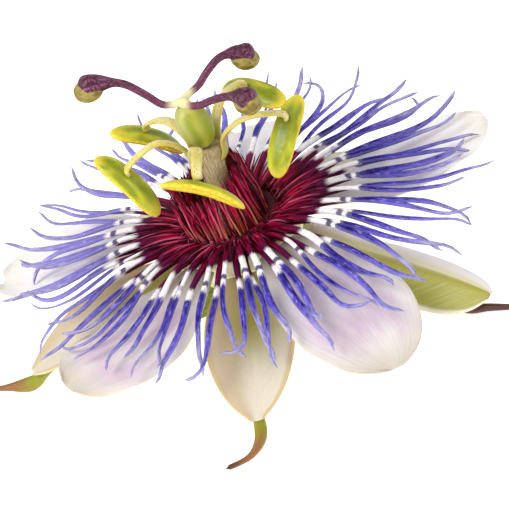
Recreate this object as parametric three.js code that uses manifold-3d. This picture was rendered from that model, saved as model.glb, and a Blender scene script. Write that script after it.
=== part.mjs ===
// A passion flower, picked with a short stub of stalk and set down face up on the tips of its awns.
// Millimetres, +Z up, with the flower's own axis upright. Azimuths are in degrees from the front (-Y)
// towards +X, radii are from the flower's axis, and heights are above the rim of its calyx cup.
import * as THREE from "three";
import { mergeVertices } from "three/addons/utils/BufferGeometryUtils.js";
import Module from "manifold-3d";

const wasm = await Module();
wasm.setup();

// ---------------------------------------------------------------- driving dimensions

const GAP = 0.3; // clearance between neighbouring pieces

const RIM_RADIUS = 8; // the calyx cup's rim, where the sepals and petals are attached
const RIM_HEIGHT = 11.5; // the rim's height above the surface that the awns stand on
const CUP_DEPTH = 6;
const STALK_RADIUS = 1.4;
const STALK_STUB = 4.4; // the stalk left below the cup

const PETAL_THICKNESS = 0.6;
const SEPAL_THICKNESS = 0.75;
const PETAL_ROOT = -0.45; // height where a petal leaves the rim
const SEPAL_ROOT = -2.0;

const CORONA_TOP = 1.9; // top of the fleshy rings that carry the filaments
const OUTER_RING = [6.3, 7.8]; // inner and outer radius
const INNER_RING = [4.0, 6.0];
const OUTER_FILAMENTS = 38; // in each of the two outer rows
const INNER_FILAMENTS = 28; // in each of the two inner rows

const COLUMN_HEIGHT = 11.5; // from the rim to the ovary
const OVARY_RADIUS = 2.05;
const OVARY_LENGTH = 6;
const OVARY_LEAN = 0.11; // to the left, for each millimetre up
const OVARY_TOP = COLUMN_HEIGHT + OVARY_LENGTH;
const ANTHER_LENGTH = 10;
const ANTHER_HALF_WIDTH = 1.65;
const ANTHER_HALF_DEPTH = 0.8;

// ---------------------------------------------------------------- how this flower's pieces lie

// azimuth: at the root and at the tip. reach and tip: radius and height of the tip.
// arch: how far the middle bows up. hollow: how far the edges rise. twist: the face's turn at the tip.
const PETALS = [
  { azimuth: [25, 22], reach: 30, tip: -8.8, arch: 1.6, hollow: 0.3, twist: -4, width: 15 },
  { azimuth: [99, 97.5], reach: 33.2, tip: -0.4, arch: -1.8, hollow: 0.8, twist: 3, width: 13.5 },
  { azimuth: [170, 172], reach: 32.5, tip: -4.2, arch: 1, hollow: 0.9, twist: 0, width: 15 },
  { azimuth: [-118, -116], reach: 33, tip: -3.6, arch: 0.6, hollow: 0.9, twist: -4, width: 14.5 },
  { azimuth: [-45, -53.5], reach: 30.2, tip: -2.1, arch: -1.4, hollow: 0.3, twist: -10, width: 13 },
];
// fold: how far the front and the back half turn down from the midrib. bluntness: how full the tip is.
// keelEnd: where along the blade the awn leaves it. awn: its points from there, as azimuth, radius, height.
const FOOT = -RIM_HEIGHT;
const SEPALS = [
  {
    azimuth: [-8, -11], reach: 28, tip: -9.1, arch: 0.2, width: 10.8,
    fold: [0, 0], bluntness: 2, keelEnd: 0.93,
    awn: [[-11, 29.6, -10.4], [-13.5, 31.4, -11.1], [-18.5, 32.8, FOOT + 0.3]],
  },
  {
    azimuth: [56, 51], reach: 31.5, tip: -9, arch: 0.2, width: 10.2,
    fold: [52, 25], bluntness: 4, keelEnd: 0.7,
    awn: [[49.2, 28.2, -10.3], [50.8, 31, -10.7], [52.5, 36.8, FOOT + 0.3]],
  },
  {
    azimuth: [134, 134], reach: 30, tip: -8.6, arch: 0.8, width: 11.5,
    fold: [0, 0], bluntness: 2, keelEnd: 0.93,
    awn: [[134, 32, -9.8], [135, 34, -10.9], [137.5, 35.6, FOOT + 0.25]],
  },
  {
    azimuth: [-154, -154], reach: 30, tip: -8.6, arch: 0.8, width: 11.5,
    fold: [0, 0], bluntness: 2, keelEnd: 0.93,
    awn: [[-154, 32, -9.8], [-155, 34, -10.9], [-158, 35.6, FOOT + 0.25]],
  },
  {
    azimuth: [-80, -84], reach: 29, tip: -7.2, arch: 0.8, width: 11.5,
    fold: [0, 0], bluntness: 2, keelEnd: 0.93,
    awn: [[-85.5, 29.5, -8.9], [-87.5, 32.5, -8.8], [-89, 36, -8.2]],
  },
];
const BRACTS = [25, 145, -95];

// azimuth, radius, height: the joint where the stamen's filament meets the back of its anther.
// crest: the filament's height half way. share: how far along the anther the joint is.
// along, back: the anther's long way and the way that its green back faces, as right, front and up.
const STAMENS = [
  {
    azimuth: -14.3, radius: 8.4, height: 12.2, crest: 13.6, share: 0.39,
    along: [7.9, 2.7, -4.9], back: [0.1, -0.45, 0.88],
  },
  {
    azimuth: 65, radius: 10.8, height: 13.7, crest: 14.4, share: 0.3,
    along: [-5.8, 3.9, -7], back: [-0.5, 0.75, 0.35],
  },
  {
    azimuth: 136, radius: 9.6, height: 14, crest: 14.8, share: 0.44,
    along: [6.3, 8, -1.2], back: [-0.2, 0.4, 1],
  },
  {
    azimuth: -144, radius: 10, height: 12.5, crest: 14.2, share: 0.4,
    along: [7.6, -1.9, -6.5], back: [0, 0.3, 1],
  },
  {
    azimuth: -78, radius: 9.8, height: 12.9, crest: 14.6, share: 0.4,
    along: [4.7, 4.4, -7.9], back: [0.5, 0.5, 0.6],
  },
];

// The points that each style passes through, as right, front and up from the top of the ovary.
const STYLES = [
  [
    [-0.95, 0.1, 0.5], [-1.9, 0, 0.55], [-3, 0, 1], [-4.4, 0, 2.9],
    [-6.4, 0, 5.2], [-8.6, 0, 6.2], [-11.5, 0.2, 6.6],
  ],
  [
    [-0.4, 0.5, 0.5], [-0.1, 1.5, 0.4], [1, 2.5, 0.45], [2.5, 3.4, 0.9],
    [4, 4.8, 1.4], [5.5, 6.5, 1.6], [7, 8.3, 1.1],
  ],
  [
    [-0.3, -0.4, 0.5], [0.5, -0.8, 0.8], [1.7, -1.5, 1], [3.1, -2.3, 1.8],
    [5, -3.3, 2.5], [6.6, -4, 2.2], [7.8, -4.3, 1.4], [9.2, -4.6, 0.8],
  ],
];

// ---------------------------------------------------------------- small helpers

const radians = THREE.MathUtils.degToRad;
const lerp = THREE.MathUtils.lerp;

// The point at an azimuth, a radius and a height.
function at(azimuth, radius, height) {
  const angle = radians(azimuth);
  return new THREE.Vector3(Math.sin(angle) * radius, -Math.cos(angle) * radius, height);
}

// The level direction square to an azimuth.
const across = (azimuth) => new THREE.Vector3(Math.cos(radians(azimuth)), Math.sin(radians(azimuth)), 0);

// A direction or point given as right, front and up.
const fromSides = ([right, front, up]) => new THREE.Vector3(right, -front, up);

// A repeatable scatter from -1 to 1 for one trait of one piece.
function scatter(piece, trait) {
  const x = Math.sin(piece * 12.9898 + trait * 78.233) * 43758.5453;
  return 2 * (x - Math.floor(x)) - 1;
}

// A blade's width along its length, as a share: it swells to the widest place, then closes to the tip.
function swelling(t, widest, rootShare, tipShare, close) {
  if (t < widest) return rootShare + (1 - rootShare) * Math.sin((Math.PI / 2) * (t / widest));
  return Math.max(close((t - widest) / (1 - widest)), tipShare);
}

// Points spread evenly along a smooth curve through a few others.
const smooth = (points, count) =>
  new THREE.CatmullRomCurve3(points, false, "centripetal").getSpacedPoints(count);

// Directions carried along a line of points without twisting.
function framesAlong(points, side) {
  let sideways = side.clone();
  return points.map((point, i) => {
    const before = points[Math.max(i - 1, 0)];
    const after = points[Math.min(i + 1, points.length - 1)];
    const forward = after.clone().sub(before).normalize();
    sideways = sideways.clone().addScaledVector(forward, -sideways.dot(forward)).normalize();
    return { point, forward, sideways, third: new THREE.Vector3().crossVectors(sideways, forward) };
  });
}

// ---------------------------------------------------------------- solids

// A closed geometry as a solid that can be joined and cut.
function solid(geometry) {
  const bare = geometry.clone();
  for (const name of Object.keys(bare.attributes)) if (name !== "position") bare.deleteAttribute(name);
  const merged = mergeVertices(bare, 1e-4);
  return new wasm.Manifold(
    new wasm.Mesh({
      numProp: 3,
      vertProperties: new Float32Array(merged.attributes.position.array),
      triVerts: new Uint32Array(merged.index.array),
    }),
  );
}

// Solids fused into one body. Scraps that touch nothing are dropped, and pockets sealed inside are filled.
function join(solids) {
  const whole = solids.reduce((sum, next) => sum.add(next));
  return whole.decompose().sort((a, b) => b.volume() - a.volume())[0];
}

function geometryOf(made) {
  const mesh = made.getMesh();
  const geometry = new THREE.BufferGeometry();
  geometry.setAttribute("position", new THREE.BufferAttribute(new Float32Array(mesh.vertProperties), 3));
  geometry.setIndex(new THREE.BufferAttribute(new Uint32Array(mesh.triVerts), 1));
  geometry.computeVertexNormals();
  return geometry;
}

// A solid of revolution about the flower's axis, from a profile of radii and heights.
function turned(profile, sides) {
  const points = profile.map(([radius, height]) => new THREE.Vector2(radius, height));
  return new THREE.LatheGeometry(points, sides).rotateX(Math.PI / 2);
}

// A capped cylinder bent along a line of points. Its half width and half depth vary along it.
function rod(points, side, sides, halfWidth, halfDepth = halfWidth) {
  const steps = points.length - 1;
  const frames = framesAlong(points, side);
  const geometry = new THREE.CylinderGeometry(1, 1, 1, sides, steps);
  const position = geometry.attributes.position;
  for (let i = 0; i < position.count; i++) {
    const step = Math.round((position.getY(i) + 0.5) * steps);
    const { point, sideways, third } = frames[step];
    const p = point
      .clone()
      .addScaledVector(sideways, position.getX(i) * halfWidth(step / steps))
      .addScaledVector(third, position.getZ(i) * halfDepth(step / steps));
    position.setXYZ(i, p.x, p.y, p.z);
  }
  return geometry;
}

// A sheet laid along a midline. Across it, v runs from -1 to 1; along it, t runs from 0 to 1.
function sheet({ midline, side, halfWidth, rise, twist = 0, fold = [0, 0] }, rows, columns) {
  const points = Array.from({ length: rows + 1 }, (_, row) => midline(row / rows));
  const frames = framesAlong(points, side);
  const geometry = new THREE.PlaneGeometry(2, 1, columns, rows);
  const position = geometry.attributes.position;
  for (let i = 0; i < position.count; i++) {
    const row = Math.round((position.getY(i) + 0.5) * rows);
    const v = position.getX(i);
    const t = row / rows;
    const { point, forward, sideways } = frames[row];
    const level = sideways.clone().applyAxisAngle(forward, radians(twist * t));
    const upward = new THREE.Vector3().crossVectors(forward, level);
    const droop = radians(fold[v < 0 ? 0 : 1]) * Math.min(1, 4 * t);
    const reach = v * halfWidth(t);
    const p = point
      .clone()
      .addScaledVector(level, reach * Math.cos(droop))
      .addScaledVector(upward, rise(t, v) - Math.abs(reach) * Math.sin(droop));
    position.setXYZ(i, p.x, p.y, p.z);
  }
  geometry.computeVertexNormals();
  return geometry;
}

// A sheet made a closed blade. Both faces are split into triangles alike, so they never cross.
function thicken(middle, thickness, rows, columns) {
  const { position, normal } = middle.attributes;
  const count = position.count;
  const vertices = [];
  for (const half of [thickness / 2, -thickness / 2])
    for (let i = 0; i < count; i++) {
      const p = new THREE.Vector3().fromBufferAttribute(position, i);
      vertices.push(...p.addScaledVector(new THREE.Vector3().fromBufferAttribute(normal, i), half).toArray());
    }
  const faces = [];
  const front = middle.index.array;
  for (let i = 0; i < front.length; i += 3) {
    faces.push(front[i], front[i + 1], front[i + 2]);
    faces.push(count + front[i + 2], count + front[i + 1], count + front[i]);
  }
  const edge = [];
  const width = columns + 1;
  for (let c = 0; c < columns; c++) edge.push(c);
  for (let r = 0; r < rows; r++) edge.push(r * width + columns);
  for (let c = columns; c > 0; c--) edge.push(rows * width + c);
  for (let r = rows; r > 0; r--) edge.push(r * width);
  edge.forEach((a, i) => {
    const b = edge[(i + 1) % edge.length];
    faces.push(a, b, count + a, b, count + b, count + a);
  });
  const geometry = new THREE.BufferGeometry();
  geometry.setAttribute("position", new THREE.BufferAttribute(new Float32Array(vertices), 3));
  geometry.setIndex(faces);
  return geometry;
}

const blade = (shape, thickness, rows, columns) =>
  thicken(sheet(shape, rows, columns), thickness, rows, columns);

// ---------------------------------------------------------------- calyx cup

// The fleshy cup that everything grows from, with the cut stub of the stalk.
function calyxCup() {
  const profile = [
    [0, -CUP_DEPTH - STALK_STUB],
    [STALK_RADIUS, -CUP_DEPTH - STALK_STUB],
    [STALK_RADIUS, -CUP_DEPTH - 0.4],
    [STALK_RADIUS + 0.8, -CUP_DEPTH],
    [5.2, -CUP_DEPTH + 0.5],
    [RIM_RADIUS - 0.9, -3.6],
    [RIM_RADIUS, -1.6],
    [RIM_RADIUS, 0],
    [0, 0],
  ];
  return turned(profile, 28);
}

// ---------------------------------------------------------------- petals and sepals

// A midline from the rim out to the tip. Its azimuth drifts, and it bows up or down on the way.
const tepalMidline = ({ azimuth, reach, tip, arch }, root) => (t) =>
  at(
    lerp(azimuth[0], azimuth[1], t),
    lerp(RIM_RADIUS + GAP, reach, t),
    lerp(root, tip, t) + arch * Math.sin(Math.PI * t),
  );

function petal(shape, number) {
  const edgeRise = (t) => shape.hollow * (Math.sin(Math.PI * Math.min(1, 1.1 * t)) + t ** 4);
  const ripple = (t, v) => 0.28 * Math.sin(2 * Math.PI * (1.6 * t + 0.21 * number) + v);
  return blade(
    {
      midline: tepalMidline(shape, PETAL_ROOT),
      side: across(shape.azimuth[0]),
      halfWidth: (t) => (shape.width / 2) * swelling(t, 0.62, 0.36, 0.16, (s) => Math.sqrt(1 - s ** 2.4)),
      rise: (t, v) => (edgeRise(t) + ripple(t, v)) * v * v,
      twist: shape.twist,
    },
    PETAL_THICKNESS,
    11,
    6,
  );
}

// The keel under a sepal swells towards the awn, and the awn tapers to its tip.
const awnRadius = (s) => 0.3 + 0.5 * Math.sin(Math.PI * Math.min(1, 0.2 + 0.9 * s)) * (1 - 0.35 * s);

function sepal(shape) {
  const midline = tepalMidline(shape, SEPAL_ROOT);
  const side = across(shape.azimuth[0]);
  const body = blade(
    {
      midline,
      side,
      halfWidth: (t) =>
        (shape.width / 2) * swelling(t, 0.45, 0.6, 0.13, (s) => (1 - s ** shape.bluntness) ** 0.65),
      rise: (t, v) => (0.2 + 0.6 * Math.sin(Math.PI * t)) * v * v,
      fold: shape.fold,
    },
    SEPAL_THICKNESS,
    9,
    6,
  );
  const keelPoint = (share) => {
    const p = midline(lerp(0.4, shape.keelEnd, share));
    p.z -= 0.35 + 0.3 * share;
    return p;
  };
  const keel = [0, 0.25, 0.5, 0.75, 1].map(keelPoint);
  const awn = shape.awn.map(([azimuth, radius, height]) => at(azimuth, radius, height));
  const spine = rod(smooth([...keel, ...awn], 12), side, 5, awnRadius);
  return geometryOf(join([solid(body), solid(spine)]));
}

// ---------------------------------------------------------------- bracts

// A leafy bract on the stalk under the cup, egg-shaped and pointed.
function bract(azimuth) {
  const root = STALK_RADIUS + GAP;
  const reach = 14.5;
  const height = -CUP_DEPTH - 2.2;
  const width = 10;
  return blade(
    {
      midline: (t) => at(azimuth, lerp(root, reach, t), height - 1.2 * t * t + 0.5 * Math.sin(Math.PI * t)),
      side: across(azimuth),
      halfWidth: (t) => (width / 2) * Math.max(Math.sin(Math.PI * (0.1 + 0.9 * t) ** 0.8) ** 0.8, 0.1),
      rise: (t, v) => 0.5 * v * v + 0.15 * v * Math.sin(9 * t),
    },
    PETAL_THICKNESS,
    8,
    4,
  );
}

// ---------------------------------------------------------------- corona

// A fleshy ring with a bevelled top.
function ring([inner, outer]) {
  const bevel = 0.4;
  const profile = [
    [inner, GAP],
    [outer, GAP],
    [outer, CORONA_TOP - bevel],
    [outer - bevel, CORONA_TOP],
    [inner + bevel, CORONA_TOP],
    [inner, CORONA_TOP - bevel],
    [inner, GAP],
  ];
  return turned(profile, 40);
}

// How far the last third of a filament has curled.
const hook = (t) => Math.max(0, (t - 0.7) / 0.3) ** 2;

// An outer filament grows in short steps, each turned by the row's arch, the piece's own waves and the hook.
// Filaments droop at the front, rise at the back, and are held clear over the petal on the right.
function outerFilament(i, row) {
  const azimuth = (360 / OUTER_FILAMENTS) * (i + 0.5 * row) + 2 * scatter(i, 1 + row);
  const held = 6 * Math.max(0, Math.cos(radians(azimuth - 98))) ** 2;
  const lift = held - 1.5 - 12.5 * Math.cos(radians(azimuth - 15));
  const arch = row ? 15 : 9;
  const reach = 1.5 * Math.sin(radians(azimuth - 20)) - 1.3 * Math.max(0, Math.cos(radians(azimuth)));
  const length = (row ? 22.2 : 23.4) + reach + 1.2 * scatter(i, 3 + row);
  const wave = (t, turns, trait) => t * Math.sin(2 * Math.PI * (turns * t + scatter(i, trait + row)));
  const rowArch = (t) => arch * Math.cos(1.8 * Math.PI * t);
  const pitch = (t) => 1.4 * lift * t + rowArch(t) + 5 * wave(t, 1.4, 5) + 26 * scatter(i, 7 + row) * hook(t);
  const yaw = (t) => (7 + 5 * scatter(i, 9 + row)) * wave(t, 1.5, 11) + 45 * scatter(i, 13 + row) * hook(t);
  const steps = 7;
  const points = [at(azimuth, row ? 6.75 : 7.2, row ? 1.5 : 0.9)];
  for (let step = 0; step < steps; step++) {
    const t = (step + 0.5) / steps;
    const rise = radians(pitch(t));
    const direction = at(azimuth + yaw(t), Math.cos(rise), Math.sin(rise));
    points.push(points[step].clone().addScaledVector(direction, length / steps));
  }
  return rod(points, across(azimuth), 3, (s) => 0.62 - 0.36 * s ** 1.6);
}

// The inner filaments stand up in a palisade round the column, leaning in and a little to one side.
// They are longest at the back right, closest to the column on the right, and splayed out at the front left.
function innerFilament(i, row) {
  const azimuth = (360 / INNER_FILAMENTS) * (i + 0.5 * row) + 3 * scatter(i, 21 + row);
  const outward = at(azimuth, 1, 0);
  const peak = Math.max(0, Math.cos(radians(azimuth - 108))) ** 4;
  const close = Math.max(0, Math.cos(radians(azimuth - 80))) ** 2;
  const splay = Math.max(0, Math.cos(radians(azimuth + 55))) ** 2;
  const length = 6.9 + 0.9 * peak - 0.8 * splay + 0.5 * scatter(i, 23 + row);
  const inward = (row ? 0.2 : 0.29) * (1 - 0.65 * close) - 0.35 * splay + 0.04 * scatter(i, 25 + row);
  const lean = new THREE.Vector3(-0.07, 0, 1).addScaledVector(outward, -inward);
  const start = at(azimuth, (row ? 4.75 : 5.5) * (1 - 0.17 * close), CORONA_TOP - 0.6);
  const tip = start.clone().addScaledVector(lean, length);
  const middle = start.clone().lerp(tip, 0.5).addScaledVector(outward, 0.1 + 0.25 * scatter(i, 27 + row));
  return rod([start, middle, tip], across(azimuth), 3, (s) => 0.43 - 0.23 * s);
}

// Two rows of filaments fused to the ring that they grow from.
function corona(radii, count, filament) {
  const solids = [solid(ring(radii))];
  for (const row of [0, 1]) for (let i = 0; i < count; i++) solids.push(solid(filament(i, row)));
  return geometryOf(join(solids));
}

// ---------------------------------------------------------------- column and ovary

function column() {
  const profile = [
    [0, GAP],
    [2.1, GAP],
    [2.0, 1.2],
    [1.55, 2.6],
    [1.4, 6],
    [1.55, 9],
    [1.9, COLUMN_HEIGHT - 0.6],
    [1.7, COLUMN_HEIGHT - GAP],
    [0, COLUMN_HEIGHT - GAP],
  ];
  return turned(profile, 16);
}

// An egg with three faint lobes, fuller above the middle, that leans a little.
function ovary() {
  const geometry = new THREE.SphereGeometry(1, 18, 12).rotateX(Math.PI / 2);
  const position = geometry.attributes.position;
  for (let i = 0; i < position.count; i++) {
    const [x, y, z] = [position.getX(i), position.getY(i), position.getZ(i)];
    const lobes = 1 + 0.03 * Math.cos(3 * Math.atan2(y, x));
    const radius = OVARY_RADIUS * lobes * (1 + 0.1 * z);
    const height = COLUMN_HEIGHT + (OVARY_LENGTH / 2) * (1 + Math.sign(z) * Math.abs(z) ** 0.9);
    position.setXYZ(i, x * radius - OVARY_LEAN * (height - COLUMN_HEIGHT), y * radius, height);
  }
  return geometry;
}

// ---------------------------------------------------------------- stamens

// The flat strap that springs from the top of the column and arches out to the anther's back.
function stamenFilament({ azimuth, radius, height, crest }) {
  const through = [
    at(azimuth, 1.9 + GAP, COLUMN_HEIGHT - 1.1),
    at(azimuth, 2.6, COLUMN_HEIGHT + 0.9),
    at(azimuth, 0.55 * radius, crest),
    at(azimuth, radius, height + 0.35),
  ];
  return rod(smooth(through, 8), across(azimuth), 6, (s) => 0.85 - 0.25 * s, (s) => 0.4 - 0.06 * s);
}

// A blunt bean, bowed down at both ends, that hangs under its joint.
function anther({ azimuth, radius, height, along, back, share }) {
  const forward = fromSides(along).normalize();
  const upward = fromSides(back);
  upward.addScaledVector(forward, -upward.dot(forward)).normalize();
  const sideways = new THREE.Vector3().crossVectors(forward, upward);
  const joint = at(azimuth, radius, height);
  const geometry = new THREE.SphereGeometry(1, 10, 10).rotateZ(Math.PI / 2);
  const position = geometry.attributes.position;
  for (let i = 0; i < position.count; i++) {
    const x = position.getX(i);
    const blunt = Math.sqrt((1 - Math.abs(x) ** 3.2) / Math.max(1 - x * x, 1e-6));
    const bow = 0.9 * x * x;
    const p = joint
      .clone()
      .addScaledVector(forward, ANTHER_LENGTH * (x / 2 + 0.5 - share))
      .addScaledVector(upward, (position.getY(i) * blunt - 1) * ANTHER_HALF_DEPTH - GAP - bow)
      .addScaledVector(sideways, position.getZ(i) * blunt * ANTHER_HALF_WIDTH);
    position.setXYZ(i, p.x, p.y, p.z);
  }
  return geometry;
}

// ---------------------------------------------------------------- styles and stigmas

const styleLine = (through) => smooth(through.map(fromSides), 13).map((p) => p.setZ(p.z + OVARY_TOP));

// Slender at the root, a pear-shaped club over the last third.
function clubRadius(s) {
  const club = Math.sin((Math.PI / 2) * Math.min(1, Math.max(0, (s - 0.64) / 0.28))) ** 2;
  const rounding = Math.max(0, (s - 0.9) / 0.1) ** 2;
  return 0.42 + 0.1 * s + 0.9 * club * (1 - 0.5 * rounding);
}

const style = (through, grown = 0) =>
  rod(styleLine(through), new THREE.Vector3(0, 1, 0), 8, (s) => clubRadius(s) + grown);

// The two-lobed pad under the club's end, hollowed to sit round the club.
function stigma(through) {
  const line = styleLine(through);
  const tip = line.at(-1);
  const forward = tip.clone().sub(line.at(-3)).normalize();
  const side = new THREE.Vector3().crossVectors(forward, new THREE.Vector3(0, 0, 1)).normalize();
  const downward = new THREE.Vector3().crossVectors(forward, side);
  const lobes = [-1, 1].map((hand) => {
    const lobe = new THREE.SphereGeometry(1, 8, 6).scale(1.55, 1.3, 1.55);
    lobe.applyMatrix4(new THREE.Matrix4().makeBasis(forward, side, downward));
    const centre = tip
      .clone()
      .addScaledVector(forward, -0.85)
      .addScaledVector(downward, 0.8)
      .addScaledVector(side, 0.45 * hand);
    return solid(lobe.translate(centre.x, centre.y, centre.z));
  });
  return geometryOf(join([join(lobes).subtract(solid(style(through, GAP)))]));
}

// ---------------------------------------------------------------- assembly

const finish = (color, roughness) => new THREE.MeshStandardMaterial({ color, roughness, metalness: 0 });
const FINISHES = {
  green: finish(0x8fa53c, 0.55),
  sepal: finish(0xe3e4b4, 0.55),
  petal: finish(0xf3ecf4, 0.5),
  outerCorona: finish(0x5a48c0, 0.5),
  innerCorona: finish(0x6b0f35, 0.45),
  column: finish(0xcdb888, 0.6),
  ovary: finish(0x9dab3a, 0.4),
  stamenFilament: finish(0xdcd27a, 0.5),
  anther: finish(0xb9b82f, 0.55),
  style: finish(0x6d2a55, 0.45),
  stigma: finish(0xa49a4a, 0.5),
};

const flower = new THREE.Group();

function add(name, geometry, material) {
  const mesh = new THREE.Mesh(geometry, material);
  mesh.name = name;
  flower.add(mesh);
}

add("calyx_cup", calyxCup(), FINISHES.green);
SEPALS.forEach((shape, i) => add("sepal_" + (i + 1), sepal(shape), FINISHES.sepal));
PETALS.forEach((shape, i) => add("petal_" + (i + 1), petal(shape, i), FINISHES.petal));
BRACTS.forEach((azimuth, i) => add("bract_" + (i + 1), bract(azimuth), FINISHES.green));
add("corona_outer", corona(OUTER_RING, OUTER_FILAMENTS, outerFilament), FINISHES.outerCorona);
add("corona_inner", corona(INNER_RING, INNER_FILAMENTS, innerFilament), FINISHES.innerCorona);
add("column", column(), FINISHES.column);
add("ovary", ovary(), FINISHES.ovary);
STAMENS.forEach((stamen, i) => {
  add("stamen_filament_" + (i + 1), stamenFilament(stamen), FINISHES.stamenFilament);
  add("anther_" + (i + 1), anther(stamen), FINISHES.anther);
});
STYLES.forEach((through, i) => {
  add("style_" + (i + 1), style(through), FINISHES.style);
  add("stigma_" + (i + 1), stigma(through), FINISHES.stigma);
});

// The origin is under the middle of the box that the flower fills, on the surface that it stands on.
const box = new THREE.Box3().setFromObject(flower);
const middle = box.getCenter(new THREE.Vector3());
flower.position.set(-middle.x, -middle.y, -box.min.z);
const part = new THREE.Group().add(flower);

export default part;
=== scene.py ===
# %% [markdown]
# # Dressing a passion flower
#
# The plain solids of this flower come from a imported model, which stays the frame for everything here.
# Each cell makes one kind of piece: first what it is on a living flower, then how it can be made.

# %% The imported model
from math import atan2, copysign, cos, exp, pi, radians, sin, sqrt

import bmesh
import bpy
from mathutils import Matrix, Vector


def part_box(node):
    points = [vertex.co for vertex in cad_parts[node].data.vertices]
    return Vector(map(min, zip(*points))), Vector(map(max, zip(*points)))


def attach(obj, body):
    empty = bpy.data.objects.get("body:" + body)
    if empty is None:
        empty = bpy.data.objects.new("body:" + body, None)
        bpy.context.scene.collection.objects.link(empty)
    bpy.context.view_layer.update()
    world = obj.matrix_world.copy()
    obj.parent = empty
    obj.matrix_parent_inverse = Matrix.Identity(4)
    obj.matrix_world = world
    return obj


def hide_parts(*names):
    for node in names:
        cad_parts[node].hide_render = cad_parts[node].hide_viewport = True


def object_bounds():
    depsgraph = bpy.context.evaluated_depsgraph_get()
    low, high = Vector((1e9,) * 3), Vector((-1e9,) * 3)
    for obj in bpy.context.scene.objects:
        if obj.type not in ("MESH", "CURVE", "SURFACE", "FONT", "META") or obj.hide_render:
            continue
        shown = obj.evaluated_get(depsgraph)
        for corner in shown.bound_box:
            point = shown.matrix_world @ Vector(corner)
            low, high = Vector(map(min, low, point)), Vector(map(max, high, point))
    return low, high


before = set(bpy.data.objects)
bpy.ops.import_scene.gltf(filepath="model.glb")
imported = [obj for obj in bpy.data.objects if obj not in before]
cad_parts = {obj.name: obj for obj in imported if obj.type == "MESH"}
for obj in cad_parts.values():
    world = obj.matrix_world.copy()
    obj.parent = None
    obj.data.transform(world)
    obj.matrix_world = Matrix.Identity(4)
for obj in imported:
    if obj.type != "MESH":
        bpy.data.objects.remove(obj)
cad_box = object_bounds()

box_in_mm = [[round(1000 * x, 1) for x in corner] for corner in cad_box]
print("solids:", len(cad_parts), "box in mm:", box_in_mm)

# %% [markdown]
# ## The flower's own directions
# A flower grows round an axis, so a place on it is easiest to give as an azimuth, a radius and a height.
# Azimuths are degrees from the front towards the right, and heights are above the rim of the calyx cup.
# Everything is modelled in millimetres about that axis, and moved into place when a piece is finished.

# %% Places on the flower
MM = 0.001
cup_low, cup_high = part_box("calyx_cup")
CENTRE = Vector(((cup_low.x + cup_high.x) / 2, (cup_low.y + cup_high.y) / 2, cup_high.z))
INTO_PLACE = Matrix.Translation(CENTRE) @ Matrix.Scale(MM, 4)
FOOT = -11.5


def at(azimuth, radius, height=0.0):
    angle = radians(azimuth)
    return Vector((sin(angle) * radius, -cos(angle) * radius, height))


def across(azimuth):
    return at(azimuth + 90, 1)


def from_sides(right, front, up):
    return Vector((right, -front, up))


def lerp(a, b, t):
    return a + (b - a) * t


def facing(azimuth, other):
    """1 where two azimuths agree, and 0 from a quarter turn apart."""
    return max(0, cos(radians(azimuth - other)))


def bump(x, width):
    """A smooth hump that is 1 in its middle and gone by about twice its width."""
    return exp(-((x / width) ** 2))


def scatter(piece, trait):
    """A repeatable scatter from -1 to 1 for one trait of one piece."""
    x = sin(piece * 12.9898 + trait * 78.233) * 43758.5453
    return 2 * (x % 1) - 1


print("rim height in mm:", round(-FOOT, 2))

# %% [markdown]
# ## The camera
# A narrow lens, as for close work, looks down at the flower from the front and is tipped to one side.

# %% Camera
ELEVATION, ROLL, DISTANCE = radians(29), radians(-20.5), 300 * MM
LENS, SENSOR = 177.8, 36.0
AIM_RIGHT, AIM_UP = 2.17 * MM, -3.28 * MM

back = Vector((0, -cos(ELEVATION), sin(ELEVATION)))
level_right, level_up = Vector((1, 0, 0)), Vector((0, sin(ELEVATION), cos(ELEVATION)))
camera_right = level_right * cos(ROLL) + level_up * sin(ROLL)
camera_up = level_up * cos(ROLL) - level_right * sin(ROLL)

camera = bpy.data.objects.new("camera", bpy.data.cameras.new("camera"))
bpy.context.scene.collection.objects.link(camera)
bpy.context.scene.camera = camera
camera.data.lens, camera.data.sensor_width = LENS, SENSOR
camera.data.clip_start = 0.01
target = CENTRE + camera_right * AIM_RIGHT + camera_up * AIM_UP
turn = Matrix((camera_right, camera_up, back)).transposed().to_4x4()
camera.matrix_world = Matrix.Translation(target + back * DISTANCE) @ turn
print("camera at", [round(x, 3) for x in camera.location])

# %% [markdown]
# ## Shader maths as Python
# A material is a graph of nodes. Wrapping a socket in a small class lets a pattern be written as a sum,
# so `1 - mask` adds a Math node by itself. Colours go through Mix nodes, which keep their three channels.


# %% A socket that can be added and multiplied
class Value:
    def __init__(self, paint, socket):
        self.paint, self.socket = paint, socket

    def maths(self, operation, *numbers):
        return self.paint.node("Math", {"operation": operation}, dict(enumerate(numbers)))

    def part(self, index):
        return Value(self.paint, self.socket.node.outputs[index])

    def __add__(self, other):
        return self.maths("ADD", self, other)

    def __sub__(self, other):
        return self.maths("SUBTRACT", self, other)

    def __rsub__(self, other):
        return self.maths("SUBTRACT", other, self)

    def __mul__(self, other):
        return self.maths("MULTIPLY", self, other)

    __radd__, __rmul__ = __add__, __mul__

    def __pow__(self, other):
        return self.maths("POWER", self, other)

    def __abs__(self):
        return self.maths("ABSOLUTE", self)

    def rise(self, low=0.35, high=0.65):
        """0 below low, 1 above high and smooth between. Noise varies most within the usual pair."""
        values = {"Value": self, "From Min": low, "From Max": high}
        return self.paint.node("MapRange", {"interpolation_type": "SMOOTHSTEP"}, values)

    def window(self, start, end, soft):
        """1 between start and end, with soft edges, and 0 outside."""
        return self.rise(start - soft, start + soft) * (1 - self.rise(end - soft, end + soft))


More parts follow.
